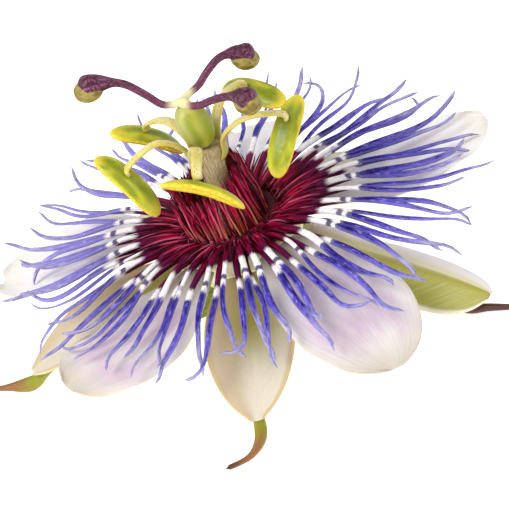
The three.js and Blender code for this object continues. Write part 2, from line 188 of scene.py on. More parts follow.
def colour(code):
    """A colour written as six hexadecimal digits, as the linear numbers that a shader works in."""
    shares = [int(code[i : i + 2], 16) / 255 for i in (0, 2, 4)]
    return (*(s / 12.92 if s <= 0.04045 else ((s + 0.055) / 1.055) ** 2.4 for s in shares), 1)


print("middle grey in a shader's numbers:", round(colour("808080")[0], 3))

# %% [markdown]
# ## One class for a material
# Every piece carries two attributes of its own. `Place` says how far along the piece a point is, from its
# root to its tip, and where it is round or across it. `Number` tells repeated pieces apart.
# Patterns read these, so they follow each petal and filament however it bends.


# %% Paint
class Paint:
    def __init__(self, name):
        self.material = bpy.data.materials.new(name)
        self.material.use_nodes = True
        self.tree = self.material.node_tree
        self.tree.nodes.clear()

    def node(self, kind, settings={}, values={}, output=0):
        made = self.tree.nodes.new("ShaderNode" + kind)
        for name, setting in settings.items():
            setattr(made, name, setting)
        for name, value in values.items():
            if isinstance(value, Value):
                self.tree.links.new(value.socket, made.inputs[name])
            else:
                made.inputs[name].default_value = value
        return Value(self, made.outputs[output]) if made.outputs else None

    def place(self):
        """How far along, across and up a point is on its piece, and the piece's number."""
        vector = self.node("Attribute", {"attribute_name": "Place"}, output="Vector")
        return *self.split(vector), self.node("Attribute", {"attribute_name": "Number"}, output="Fac")

    def spot(self):
        """Millimetres from the flower's axis and rim, to the right, to the back and up."""
        vector = self.node("TexCoord", output="Object")
        moved = self.node("VectorMath", {"operation": "SUBTRACT"}, {0: vector, 1: CENTRE})
        return self.node("VectorMath", {"operation": "SCALE"}, {0: moved, "Scale": 1 / MM})

    def split(self, vector):
        made = self.node("SeparateXYZ", values={0: vector})
        return made, made.part(1), made.part(2)

    def vector(self, x, y, z=0.0):
        return self.node("CombineXYZ", values={0: x, 1: y, 2: z})

    def noise(self, vector, scale, detail=2.0, rough=0.5):
        vector = self.vector(*vector) if isinstance(vector, tuple) else vector
        values = {"Vector": vector, "Scale": scale, "Detail": detail, "Roughness": rough}
        return self.node("TexNoise", values=values, output="Fac")

    def mix(self, mask, below, above):
        """One colour where the mask is 0 and another where it is 1, as values or as written digits."""
        below, above = (colour(c) if isinstance(c, str) else c for c in (below, above))
        return self.node("Mix", {"data_type": "RGBA"}, {0: mask, 6: below, 7: above}, output=2)

    def over(self, base, *layers):
        """Colours laid over a base in turn, each with its own mask."""
        for mask, above in layers:
            base = self.mix(mask, base, above)
        return base

    def surface(self, base, roughness, relief=None, depth=0.1, waxy=None, **plain):
        """Base colour, roughness and a relief that is depth millimetres high. A waxy surface gives how
        much light enters it and how many millimetres deep. Other plain values go by their own names."""
        values = {"Base Color": base, "Roughness": roughness}
        values.update({name.replace("_", " "): value for name, value in plain.items()})
        if waxy:
            values["Subsurface Weight"], values["Subsurface Scale"] = waxy[0], waxy[1] * MM
        if relief is not None:
            values["Normal"] = self.node("Bump", values={"Height": relief, "Distance": depth * MM})
        shader = self.node("BsdfPrincipled", values=values)
        self.node("OutputMaterial", values={"Surface": shader})
        return self.material


print("Paint is ready")

# %% [markdown]
# ## Petals
# A petal of this flower is white with a flush of lilac over its middle, and fine veins fan out from its
# root. Noise that is stretched along the petal gives the veins at any size.


# %% Petal finish
def petal_paint(name, field, flush, painted_shade):
    paint = Paint(name)
    along, side, _, number = paint.place()
    fan = side * (1.2 + along * 1.6)
    veins = paint.noise((fan * 9, along * 1.6, number * 31), 1, 3, 0.6)
    vein = veins.window(0.49, 0.53, 0.03)
    cloud = paint.noise((side * 1.4, along * 2.4, number * 17), 1.3, 3)
    middle = along.window(0.25, 0.88, 0.16) * (1 - abs(side).rise(0.5, 1))
    mottle = paint.noise((side * 5, along * 7, number * 37), 1.2, 4, 0.7)
    # Painted shade darkens the tip and the margins, where the curled tip and the edges fall into shadow.
    tip = (along + cloud * 0.12).rise(0.86, 1.06) + (abs(side) + cloud * 0.1).rise(0.9, 1.05) * 0.4
    base = paint.over(
        field,
        (middle * cloud.rise(0.3, 0.62), flush),
        (middle * mottle.rise(0.48, 0.64) * 0.22, "cdb9c6"),
        (vein * 0.16, "c2aeca"),
        ((1 - along.rise(0, 0.3)) * 0.5, "dddcb4"),
        (tip * 0.7, painted_shade),
    )
    return paint.surface(base, 0.55 + 0.12 * cloud, veins, 0.12, waxy=(0.2, 0.4), Specular_IOR_Level=0.3)


# The last colour of each is the painted shade of the tip and the margins.
PETAL_FACE = petal_paint("petal_lilac_face", "efe9e3", "e3cdda", "d6ccb6")
PETAL_PALE_FACE = petal_paint("petal_pale_face", "fbf9f4", "faf7f5", "f0ecdf")
PETAL_BACK = petal_paint("petal_under_face", "eceae6", "e2d8e4", "d3d0b8")
print("petal finishes:", PETAL_FACE.name, PETAL_PALE_FACE.name, PETAL_BACK.name)

# %% [markdown]
# ## Sepals
# A sepal is leathery. Its upper face is cream, greener at the root, and its back is green with a pale
# margin and a strong keel. Fine lines run slantwise from the midrib to the edge, like a feather's.


# %% Sepal finish
def sepal_paint(name, field, rib, margin, shaded_near_half=None):
    paint = Paint(name)
    along, side, _, number = paint.place()
    slant = along * 9 + abs(side) * 2.2
    lines = paint.noise((side * 14, along * 2.2, number * 13), 1, 3, 0.7)
    cross = paint.noise((slant * 9, side * 1.2, number * 13), 1, 2, 0.6)
    cloud = paint.noise((side * 1.6, along * 2.6, number * 7), 1.4)
    root = (1 - abs(side).rise(0.3, 0.95)) * (1 - (along + cloud * 0.2).rise(0.45, 0.85))
    edge = (abs(side) + cloud * 0.12).rise(0.86, 1)
    base = paint.mix(root * (0.7 + 0.5 * cloud), field, rib)
    if shaded_near_half:
        # Painted shade: the near half of the turned sepal hangs away from the light, so it is painted olive
        # green, with real lines across it.
        fold = side.window(-0.1, 0.08, 0.06) * (0.35 + 0.6 * along)
        shaded_half = paint.mix(cross.rise(0.4, 0.7) * 0.5, shaded_near_half, "c2b98c")
        shaded_half = paint.mix(1 - along.rise(0.25, 0.45), shaded_half, margin)
        base = paint.over(
            base,
            (side.window(-0.1, 0.42, 0.16) * 0.75, "e6dea0"),
            (1 - side.rise(-0.08, 0.06), shaded_half),
            (fold, "a19c22"),
        )
    else:
        base = paint.over(
            base,
            ((1 - side.rise(-0.6, 0)) * 0.7, "cdb48c"),
            (cross.rise(0.45, 0.75) * 0.14, rib),
        )
    base = paint.over(base, (cloud.rise(0.5, 0.75) * 0.2 * (1 - along), "b89a6c"), (edge * 0.75, margin))
    return paint.surface(base, 0.42 + 0.2 * cloud, lines, 0.05, waxy=(0.2, 0.5))


SEPAL_FACE = sepal_paint("sepal_upper_face", "dfd5bf", "a59c3a", "cbb47e")
# The last colour is the painted shade of the turned sepal's near half.
SEPAL_TURNED = sepal_paint("sepal_turned_face", "f6f1ec", "dcd2a0", "f7f3e6", "a3a13c")
SEPAL_BACK = sepal_paint("sepal_under_face", "b3b35a", "8f9638", "dedcae")


def awn_paint():
    paint = Paint("awn_green_to_tan")
    along, side, up, number = paint.place()
    grain = paint.noise((along * 9, side * 1.5, up * 1.5), 1.6)
    ripe = along + grain * 0.2 + number * 0.5 - 0.25
    base = paint.over("8e8e14", (ripe.rise(0.72, 0.9), "94602c"), (ripe.rise(0.94, 1.1), "4c2218"))
    return paint.surface(base, 0.5, grain, 0.15)


AWN = awn_paint()
print("sepal finishes:", SEPAL_FACE.name, SEPAL_BACK.name, AWN.name)


# %% [markdown]
# ## Green flesh
# The cup, the stalk and the bracts are plain green tissue: a soft mottle, and veins on the bracts.


# %% Cup and bract finish
def green_paint():
    paint = Paint("green_flesh")
    spot = paint.spot()
    x, y, z = paint.split(spot)
    mottle = paint.noise(spot, 0.5, 3, 0.6)
    ribs = paint.noise((x, y, z * 0.15), 1.6)
    base = paint.over(
        "8fa63a",
        (mottle.rise(), "b4c25c"),
        (ribs.rise(0.45, 0.65) * 0.4, "dfe0a4"),
        (z.rise(-5, -2.8), "e6e2bc"),
    )
    return paint.surface(base, 0.5 + 0.15 * mottle, ribs, 0.15, waxy=(0.1, 1))


def bract_paint():
    paint = Paint("bract_leaf")
    along, side, _, number = paint.place()
    slant = along * 6 - abs(side) * 2.4
    veins = 1 - abs(slant.maths("FRACT", slant) - 0.5).rise(0.03, 0.16)
    veins = veins.maths("MAXIMUM", veins, 1 - abs(side).rise(0.02, 0.09))
    mottle = paint.noise((side * 3, along * 4, number * 9), 1.2, 3)
    base = paint.over("97aa48", (mottle.rise(), "b8c470"), (veins * 0.5, "d6dda4"))
    return paint.surface(base, 0.48 + 0.15 * mottle, veins, 0.12)


GREEN_FLESH, BRACT = green_paint(), bract_paint()
print("green finishes:", GREEN_FLESH.name, BRACT.name)


# %% [markdown]
# ## Corona filaments
# The outer filaments are banded in rings that line up all round the flower: crimson at the root, white,
# a dark spot, then blue violet, fading at the thin tips. The rings are measured from the axis, with a
# little scatter for each filament, so that they look grown and not printed.


# %% Outer filament finish
def outer_filament_paint():
    paint = Paint("outer_filament_bands")
    along, side, up, number = paint.place()
    x, y, _ = paint.split(paint.spot())
    radius = (x * x + y * y) ** 0.5
    grain = paint.noise((radius * 0.9, side * 1.2, number * 61 + up), 1, 3, 0.65)
    streak = paint.noise((radius * 0.3, side * 3.6, number * 43 + up * 3.6), 1, 3, 0.7)
    upper = number.rise(0.48, 0.52)
    jitter = number.maths("FRACT", number * 7.3)
    ring = radius + jitter * 1.2
    edge = ring + grain * 1.6
    # A painted highlight adds bright pink streaks over the crimson at the back of the ring.
    painted_back_highlight = (x * 0.4 + y).rise(3, 8)
    # Painted shade darkens the crimson on the right side, away from the key lamp.
    painted_shade = (x - abs(y) * 0.8).rise(8.5, 11.5)
    blotch = (1 - (ring + grain * 3).rise(19.5, 21.5)) * streak.rise(0.46, 0.54)
    spot = (ring + grain * 0.8).window(15.4, 16.1, 0.15) * (up + grain * 1.6).rise(0.2, 0.7)
    dash = (ring + grain * 0.8).window(16.6, 17.1, 0.1) * (up + grain * 1.6).rise(0.3, 0.8)
    fade = paint.mix(grain.rise(0.4, 0.6), "8a84bc", "bdb7dc")
    crimson = paint.over(
        "3e0212",
        (streak.rise(0.4, 0.6), "a30a40"),
        (streak.rise(0.58, 0.7) * 0.5, "cc1a5c"),
        (abs(side).rise(0.55, 0.95) * 0.5, "2c020f"),
        (painted_back_highlight * streak.rise(0.42, 0.58) * 0.75, "d8246e"),
        (painted_shade * 0.55, "26041a"),
        (edge.rise(10.5, 13.6) * 0.65, "420d48"),
    )
    white = paint.mix(grain.rise(0.48, 0.7) * 0.6, "fbf6f8", "cabbdc")
    violet = paint.over(
        "2c1c84",
        (streak.rise(0.38, 0.6), "5b4ec4"),
        ((radius + grain * 5).rise(21, 28) * 0.6, "847bda"),
        (grain.rise(0.54, 0.66) * 0.7, "9f96e4"),
        # The real blotches deepen towards the right, with painted shade on that side.
        (blotch * (0.65 + 0.3 * x.rise(6, 12)), "1e0c62"),
        (grain.window(0.28, 0.42, 0.03) * 0.9, "1e0c62"),
        (abs(side).rise(0.6, 0.95) * 0.4, "a79ee6"),
        ((y * 0.7 - x).rise(8, 24) * 0.4, "b7aeea"),
        # Painted shade darkens the violet on the right side.
        ((x - abs(y) * 0.6).rise(12, 18) * 0.3, "22127a"),
    )
    base = paint.over(
        crimson,
        ((edge - 2.2 * (1 - upper)).rise(13.1, 14), white),
        (spot * upper * jitter.rise(0.2, 0.3) * 0.9, "2c1560"),
        (dash * x.rise(2, 8) * 0.8, "2c1560"),
        ((ring + grain * 1.8).rise(17, 17.7), violet),
        ((along + jitter * 0.2).rise(0.78, 1.02) * 0.9, fade),
    )
    return paint.surface(base, 0.5, grain, 0.12, Specular_IOR_Level=0.1)


OUTER_FILAMENT = outer_filament_paint()
print("outer filament finish:", OUTER_FILAMENT.name)

# %% [markdown]
# ## Short crimson filaments
# The inner filaments are dark or bright crimson by their number, with brown or gold at some roots on the
# right, and coral at some roots on the left as a painted highlight where the light falls. The fringe and
# the flesh of the rings keep to the same crimsons, so that the middle reads as one colour.


# %% Inner filament finish
def inner_filament_paint():
    paint = Paint("inner_filament_crimson")
    along, side, up, number = paint.place()
    x, _, _ = paint.split(paint.spot())
    grain = paint.noise((along * 5, side * 1.2, number * 61 + up), 1, 3, 0.65)
    root = 1 - (along + grain * 0.5).rise(0.3, 0.85)
    # Painted highlight: some roots on the left side, where the key lamp falls, turn coral.
    left = (0 - x).rise(-0.5, 2.5)
    dark = paint.mix(grain.rise(), "2a020c", "6c0628")
    pink = (number + grain * 0.5).rise(1, 1.15) * 0.6
    bright = paint.over("a8083c", (grain.rise(), "e02458"), (pink, "f07c98"))
    base = paint.over(
        dark,
        (number.rise(0.28, 0.52), bright),
        (root * left * number.rise(0.5, 0.62) * 0.9, "f79a8c"),
        (root * (1 - left) * number.window(0.4, 0.7, 0.05) * 0.9, "a84a26"),
        (root * (1 - left) * number.rise(0.74, 0.8), "dcae68"),
        (along.rise(0.78, 1) * 0.5, "33041e"),
    )
    return paint.surface(base, 0.45, grain, 0.08, Specular_IOR_Level=0.15)


INNER_FILAMENT = inner_filament_paint()


def fringe_paint():
    """Short crimson filaments and the pinkish threads between their feet."""
    paint = Paint("crimson_fringe")
    along, side, _, number = paint.place()
    grain = paint.noise((along * 4, side, number * 51), 1)
    base = paint.over(
        "420214",
        ((number + grain * 0.3).rise(0.35, 0.75), "b40c44"),
        (number.rise(0.78, 0.86) * 0.8, "ea6c96"),
        ((along + grain * 0.3).rise(0.6, 1.1) * 0.8, "3a0a38"),
    )
    return paint.surface(base, 0.5, grain, 0.05, Specular_IOR_Level=0.15)


def ring_paint():
    paint = Paint("corona_ring_flesh")
    grain = paint.noise(paint.spot(), 2.2, 3, 0.6)
    base = paint.mix(grain.rise(), "2c0210", "66081f")
    return paint.surface(base, 0.6, grain, 0.2, Specular_IOR_Level=0.2)


FRINGE, RING_FLESH = fringe_paint(), ring_paint()
print("crimson finishes:", INNER_FILAMENT.name, FRINGE.name, RING_FLESH.name)


# %% [markdown]
# ## Column and ovary
# The column is tan and finely lined from top to bottom. The ovary is waxy: pale where the bloom lies
# thick, and greener in soft stripes down its flanks. It is painted paler on the left and at the top as
# painted light, and deeper green on the right as painted shade.


# %% Column and ovary finish
def column_paint():
    paint = Paint("column_striated")
    x, y, z = paint.split(paint.spot())
    turn = y.maths("ARCTAN2", y, x)
    lines = paint.noise((turn * 5.5, z * 0.22), 2.2, 3, 0.7)
    flecks = paint.noise((turn * 4, z * 0.9), 2, 3, 0.7)
    base = paint.over("a88a54", (lines.rise(), "dccaa0"), (flecks.rise(0.6, 0.7) * 0.5, "8a6a3c"))
    return paint.surface(base, 0.55, lines, 0.15)


def ovary_paint():
    paint = Paint("ovary_waxy_green")
    along, side, up, _ = paint.place()
    stripes = paint.noise((side * 1.2, up * 1.2, along * 0.4), 1.1, 1)
    bloom = paint.noise((side * 1.3, up * 1.3, along * 2), 2.4, 4, 0.7)
    base = paint.over(
        "929e0a",
        (stripes.rise(0.36, 0.6), "b8b838"),
        # Painted light and shade: paler on the left, deeper green on the right, and a painted highlight at
        # the top.
        ((0 - side).rise(-0.1, 0.9) * 0.4, "cfcb98"),
        (side.rise(0.1, 0.8) * 0.65, "7d8c02"),
        (bloom.rise(0.5, 0.8) * 0.25, "e0deb0"),
        (along.rise(0.8, 1) * 0.4, "dcd69a"),
    )
    return paint.surface(base, 0.34 + 0.15 * bloom, bloom, 0.05, waxy=(0.15, 1))


COLUMN, OVARY = column_paint(), ovary_paint()
print("middle finishes:", COLUMN.name, OVARY.name)


# %% [markdown]
# ## Stamens
# A stamen's strap is yellow green with rusty specks. Its anther has a smooth green back between two
# pollen sacs, whose split edges are yellow.


# %% Stamen finish
def strap_paint():
    paint = Paint("stamen_strap_speckled")
    along, side, up, number = paint.place()
    where = paint.vector(along * 11, side * 1.4, up * 1.4 + number * 19)
    cells = paint.node("TexVoronoi", {"feature": "F1"}, {"Vector": where, "Scale": 1.7}, output="Distance")
    cloud = paint.noise(where, 0.35)
    speck = 1 - (cells - along * 0.12).rise(0.06, 0.16)
    base = paint.over(
        "dccd6c",
        (cloud.rise(), "f2e4a4"),
        (abs(side).rise(0.6, 0.95) * 0.5, "dcc63c"),
        ((1 - along.rise(0.12, 0.45)) * 0.6, "a39c3c"),
        (speck * 0.75, "96601c"),
    )
    return paint.surface(base, 0.42, cloud, 0.1, waxy=(0.15, 0.5))


def anther_paint():
    paint = Paint("anther_green_and_pollen")
    along, side, up, number = paint.place()
    cloud = paint.noise((along * 3, side * 1.2, number * 23 + up), 1.2, 3)
    grain = paint.noise((along * 18, side * 3, up * 3), 1.2)
    ridge = 1 - abs(side).rise(0.05, 0.5)
    ends = (abs(along - 0.5) + cloud * 0.16).rise(0.4, 0.56)
    rim = 1 - (up + cloud * 0.3).rise(0.25, 0.62)
    slit = up.window(-0.42, -0.3, 0.05)
    green = paint.over("8f980e", (cloud.rise(), "c8c62a"), (ridge * 0.65, "6a800a"))
    pollen = paint.mix(grain.rise(0.4, 0.6), "e6c01c", "f6de40")
    base = paint.over(green, (rim, pollen), (ends * 0.7, "ecd640"), (slit * 0.7, "c98a1c"))
    return paint.surface(base, 0.36 + 0.2 * rim, grain, 0.04, waxy=(0.1, 0.5))


STRAP, ANTHER = strap_paint(), anther_paint()
print("stamen finishes:", STRAP.name, ANTHER.name)


# %% [markdown]
# ## Styles and stigmas
# The styles are cream at the root, then purple, with a darker net of speckles that is thickest on the
# club. Each stigma is an olive pad under the end of its club.


# %% Style finish
def style_paint():
    paint = Paint("style_purple_netted")
    along, side, up, number = paint.place()
    where = paint.vector(along * 16, side * 1.5, up * 1.5 + number * 29)
    net = paint.noise(where, 2.3, 4, 0.75)
    lines = paint.noise((along * 3, side * 2.4, up * 2.4 + number * 11), 1.2, 3)
    dark = net.rise(0.42, 0.54) * (0.6 + 0.4 * along.rise(0.3, 0.7))
    root = 1 - (along + lines * 0.06).rise(0.13, 0.24)
    base = paint.over("6c244c", (lines.rise(), "9c4878"), (dark, "300616"), (root, "ece4b0"))
    return paint.surface(base, 0.35 + 0.15 * net, net, 0.08)


def stigma_paint():
    paint = Paint("stigma_olive_pad")
    along, side, up, number = paint.place()
    cloud = paint.noise((along * 2, side * 1.4, up * 1.4 + number * 7), 1.4, 3)
    base = paint.over("77641c", (cloud.rise(), "ac9c48"), (cloud.rise(0.58, 0.7) * 0.4, "6c4c1c"))
    return paint.surface(base, 0.4 + 0.2 * cloud, cloud, 0.1)


STYLE, STIGMA = style_paint(), stigma_paint()
print("style finishes:", STYLE.name, STIGMA.name)


# %% [markdown]
# ## Lines that parts follow
# Petals, filaments and straps all follow a bent line. A few points are enough to give each one, because
# a smooth curve is drawn through them. The parts also need to know which way is sideways all along it.


# %% Smooth lines
def smooth(through, count):
    """Points spread evenly along a smooth curve that passes through a few others."""
    ends = [2 * through[0] - through[1], *through, 2 * through[-1] - through[-2]]
    dense, fine = [], 24
    for a, b, c, d in zip(ends, ends[1:], ends[2:], ends[3:]):
        kb = (b - a).length ** 0.5
        kc = kb + (c - b).length ** 0.5
        kd = kc + (d - c).length ** 0.5
        for step in range(fine):
            k = lerp(kb, kc, step / fine)
            ab = a.lerp(b, k / kb)
            bc = b.lerp(c, (k - kb) / (kc - kb))
            cd = c.lerp(d, (k - kc) / (kd - kc))
            ac = ab.lerp(bc, k / kc)
            bd = bc.lerp(cd, (k - kb) / (kd - kb))
            dense.append(ac.lerp(bd, (k - kb) / (kc - kb)))
    dense.append(through[-1].copy())
    reached = [0.0]
    for p, q in zip(dense, dense[1:]):
        reached.append(reached[-1] + (q - p).length)
    points, i = [], 0
    for step in range(count + 1):
        wanted = reached[-1] * step / count
        while i < len(dense) - 2 and reached[i + 1] < wanted:
            i += 1
        points.append(dense[i].lerp(dense[i + 1], (wanted - reached[i]) / (reached[i + 1] - reached[i])))
    return points


def frames_along(points, side):
    """At each point: the way forward, the way sideways and the way up, carried along without twisting."""
    frames, sideways = [], side.copy()
    for i, point in enumerate(points):
        forward = (points[min(i + 1, len(points) - 1)] - points[max(i - 1, 0)]).normalized()
        sideways = (sideways - forward * sideways.dot(forward)).normalized()
        frames.append((point, forward, sideways, forward.cross(sideways)))
    return frames


print("points on a smooth quarter turn:", len(smooth([at(0, 1), at(45, 1), at(90, 1)], 8)))

# %% [markdown]
# ## From a bent grid to a closed shell
# A flat grid has rows along a line and columns across it, so bending one grid makes a blade or a rod: the
# columns become the ring of the rod. A shell is then closed: doubled vertices are merged, open ends filled
# and faces turned outwards. Egg and bean shapes start from a sphere, which is closed already.


# %% Grids, rods and balls
def new_mesh():
    bm = bmesh.new()
    bm.verts.layers.float_vector.new("Place")
    bm.verts.layers.float.new("Number")
    return bm


def mark(bm, vertices, spot, number):
    """Puts each vertex where spot says, and notes its Place and Number."""
    place, tag = bm.verts.layers.float_vector["Place"], bm.verts.layers.float["Number"]
    for vertex in vertices:
        vertex.co, vertex[place] = spot(vertex.co)
        vertex[tag] = number


def bent_grid(bm, columns, rows, spot, number):
    made = bmesh.ops.create_grid(bm, x_segments=columns, y_segments=rows, size=0.5)
    mark(bm, made["verts"], lambda co: spot(co.x + 0.5, co.y + 0.5), number)
    return made["verts"]


def rod(bm, points, side, sides, number, half_width, half_depth=None):
    half_depth = half_depth or half_width
    frames = frames_along(points, side)

    def spot(u, share):
        point, _, sideways, upward = frames[round(share * (len(points) - 1))]
        c, s = cos(2 * pi * u), sin(2 * pi * u)
        moved = point + sideways * (c * half_width(share)) + upward * (s * half_depth(share))
        return moved, (share, c, s)

    bent_grid(bm, sides, len(points) - 1, spot, number)


def round_end(s, share):
    """The width left where the last share of a rod is rounded off to a point."""
    return sqrt(max(0.0, 1 - max(0.0, (s - 1 + share) / share) ** 2))


def along_values(values):
    """A width that eases from each of a few evenly spaced values to the next."""

    def width(s):
        i = min(int(s * (len(values) - 1)), len(values) - 2)
        share = s * (len(values) - 1) - i
        return lerp(values[i], values[i + 1], share * share * (3 - 2 * share))

    return width


def close_shell(bm):
    bmesh.ops.remove_doubles(bm, verts=bm.verts, dist=1e-4)
    bmesh.ops.holes_fill(bm, edges=[e for e in bm.edges if e.is_boundary], sides=0)
    bmesh.ops.recalc_face_normals(bm, faces=bm.faces)


def rods(*each):
    """One mesh of closed rods, each given as what rod needs after its mesh."""
    bm = new_mesh()
    for settings in each:
        rod(bm, *settings)
    close_shell(bm)
    return bm


def ball(spot, number, columns, rows):
    """A sphere of radius 1 with each point moved to where spot says."""
    bm = new_mesh()
    made = bmesh.ops.create_uvsphere(bm, u_segments=columns, v_segments=rows, radius=1)
    mark(bm, made["verts"], spot, number)
    bm.normal_update()
    bmesh.ops.recalc_face_normals(bm, faces=bm.faces)
    return bm


print("faces of a plain ball:", len(ball(lambda co: (co, co), 0.5, 8, 6).faces))

# %% [markdown]
# ## Finishing a piece
# A finished piece has its place in its mesh, and its object sits at the origin. It rides on the flower's
# one body and stands for the plain solids that it replaces.

# %% Finishing a piece
made_pieces = []


def finish_piece(name, bm, finish, slot, *nodes):
    """The mesh moved into place as an object that rides on the flower and stands for its plain solids."""
    bmesh.ops.transform(bm, matrix=INTO_PLACE, verts=bm.verts)
    mesh = bpy.data.meshes.new(name)
    bm.to_mesh(mesh)
    bm.free()
    mesh.shade_smooth()
    piece = bpy.data.objects.new(name, mesh)
    bpy.context.scene.collection.objects.link(piece)
    for material in finish if isinstance(finish, tuple) else (finish,):
        mesh.materials.append(material)
    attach(piece, "root")
    if nodes:
        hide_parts(*nodes)
    made_pieces.append(piece)
    return piece


def thicken(piece, thickness):
    """A wall that is thinnest at the margin, with its back face in the second finish, and rounded edges."""
    wall = piece.modifiers.new("wall", "SOLIDIFY")
    wall.thickness, wall.offset = thickness * MM, 0.0
    wall.vertex_group = "thick"
    wall.thickness_vertex_group = 0.0
    wall.material_offset = 1
    wall.material_offset_rim = 0
    rounding = piece.modifiers.new("rounding", "SUBSURF")
    rounding.levels = rounding.render_levels = 1


print("piece makers are ready")

# %% [markdown]
# ## Blades
# A petal or a sepal is a thin blade on a midline. It is widest past its middle, its edges rise, and it
# may turn about its own length. It gets its thickness last, so both faces follow the same curve.

# %% Blades
RIM_RADIUS = 8.0
ROOT_RADIUS = RIM_RADIUS + 0.1


def swelling(t, widest, root_share, tip_share, close):
    """A blade's width: up from the root's share to 1 where it is widest, then closing to the tip's."""
    if t < widest:
        return root_share + (1 - root_share) * sin(pi / 2 * t / widest)
    return max(close((t - widest) / (1 - widest)), tip_share)


def blade(
    name, number, midline, side, half_width, rise, twist, finish, slot, node,
    rows=40, columns=22, wall=0.6, folds=(0, 0),
):
    frames = frames_along([midline(row / rows) for row in range(rows + 1)], side)

    def spot(u, t):
        point, forward, sideways, _ = frames[round(t * rows)]
        v = 2 * u - 1
        droop = radians(folds[v > 0]) * min(1, 4 * t)
        level = Matrix.Rotation(radians(twist * t), 3, forward) @ sideways
        reach = v * half_width(t)
        moved = point + level * (reach * cos(droop))
        moved += forward.cross(level) * (rise(t, v) - abs(reach) * sin(droop))
        return moved, (t, v, 0.0)

    bm = new_mesh()
    weights = bm.verts.layers.deform.verify()
    vertices = bent_grid(bm, columns, rows, spot, number)
    bmesh.ops.reverse_faces(bm, faces=bm.faces)
    place = bm.verts.layers.float_vector["Place"]
    for vertex in vertices:
        t, v, _ = vertex[place]
        vertex[weights][0] = 1 - 0.6 * max(abs(v) ** 4, t**8)
    piece = finish_piece(name, bm, finish, slot, node)
    piece.vertex_groups.new(name="thick")
    thicken(piece, wall)


def tepal_midline(azimuths, reach, tip, arch, root):
    def midline(t):
        height = lerp(root, tip, t) + arch * sin(pi * t)
        return at(lerp(*azimuths, t), lerp(ROOT_RADIUS, reach, t), height)

    return midline


print("blades start at a radius in mm of", ROOT_RADIUS)

# %% [markdown]
# ## The five petals
# Each petal has its own reach, droop and curl, so no two look stamped from one die.
# A petal's edge also frills a little, most near the tip.

# %% Petals
# azimuth at the root and the tip, reach, height of the tip, arch, hollow, twist, width
PETALS = [
    ((25, 22), 30, -8.8, 1.6, 0.3, -4, 15),
    ((99, 97.5), 33.2, -0.4, -1.8, 0.8, 3, 13.5),
    ((170, 172), 32.5, -4.2, 1, 0.9, 0, 15),
    ((-118, -116), 33, -3.6, 0.6, 0.9, -4, 14.5),
    ((-45, -53.5), 30.2, -2.1, -1.4, 0.3, -10, 13),
]
PETAL_ROOT = -0.45
PALE_PETALS = (1, 2, 3)

for k, (azimuths, reach, tip, arch, hollow, twist, width) in enumerate(PETALS):

    def petal_rise(t, v):
        edge = hollow * (sin(pi * min(1, 1.1 * t)) + t**4)
        ripple = 0.28 * sin(2 * pi * (1.6 * t + 0.21 * k) + v)
        frill = 0.16 * t * v * v * sin(2 * pi * (4.3 * t + 0.37 * k) + 2 * v)
        crease = -0.12 * bump(v, 0.07) * (1 - t)
        return (edge + ripple + frill) * v * v + crease

    def petal_width(t):
        return width / 2 * swelling(t, 0.62, 0.36, 0.16, lambda s: sqrt(1 - s**2.4))

    midline = tepal_midline(azimuths, reach, tip, arch, PETAL_ROOT)
    finish = (PETAL_PALE_FACE if k in PALE_PETALS else PETAL_FACE, PETAL_BACK)
    blade(
        f"petal_{k + 1}_blade", 0.1 + 0.2 * k, midline, across(azimuths[0]), petal_width, petal_rise,
        twist, finish, "petal", f"petal_{k + 1}",
    )
print("petals:", len(PETALS))

# %% [markdown]
# ## The five sepals
# Under each sepal runs a keel that leaves the blade as a tapering awn. The picked flower stands on its
# awns, so all but the left one reach down to the ground. Keel and awn are one rod along a curve.

# %% Sepals
# azimuths, reach, tip, arch, width, folds of the front and back half, bluntness of the tip, where the
# keel ends, how far and where along it the rod swells, and the awn's azimuths, radii and heights
SEPALS = [
    (
        (-8, -11), 28, -9.1, 0.2, 10.8, (0, 0), 2, 0.93, (0.25, 0.69),
        [(-11, 29.6, -10.4), (-13.5, 31.4, -11.1), (-18.5, 32.8, FOOT + 0.3)],
    ),
    (
        (56, 51), 31.5, -9, 0.2, 10.2, (52, 25), 4, 0.7, (0, 0.7),
        [(49.2, 28.2, -10.3), (50.8, 31, -10.7), (52.5, 36.8, FOOT + 0.3)],
    ),
    (
        (134, 134), 30, -8.6, 0.8, 11.5, (0, 0), 2, 0.93, (0.2, 0.7),
        [(134, 32, -9.8), (135, 34, -10.9), (137.5, 35.6, FOOT + 0.25)],
    ),
    (
        (-154, -154), 30, -8.6, 0.8, 11.5, (0, 0), 2, 0.93, (0.2, 0.7),
        [(-154, 32, -9.8), (-155, 34, -10.9), (-158, 35.6, FOOT + 0.25)],
    ),
    (
        (-80, -84), 29, -7.2, 0.8, 11.5, (0, 0), 2, 0.93, (0.45, 0.7),
        [(-85.5, 29.5, -8.9), (-87.5, 32.5, -8.8), (-89, 36, -8.2)],
    ),
]
SEPAL_ROOT = -2.0
TURNED_SEPAL = 1


def awn_radius(s, swell, place):
    keel = 0.3 + 0.5 * sin(pi * min(1, 0.2 + 0.9 * s)) * (1 - 0.35 * s)
    return keel + swell * bump(s - place, 0.1)


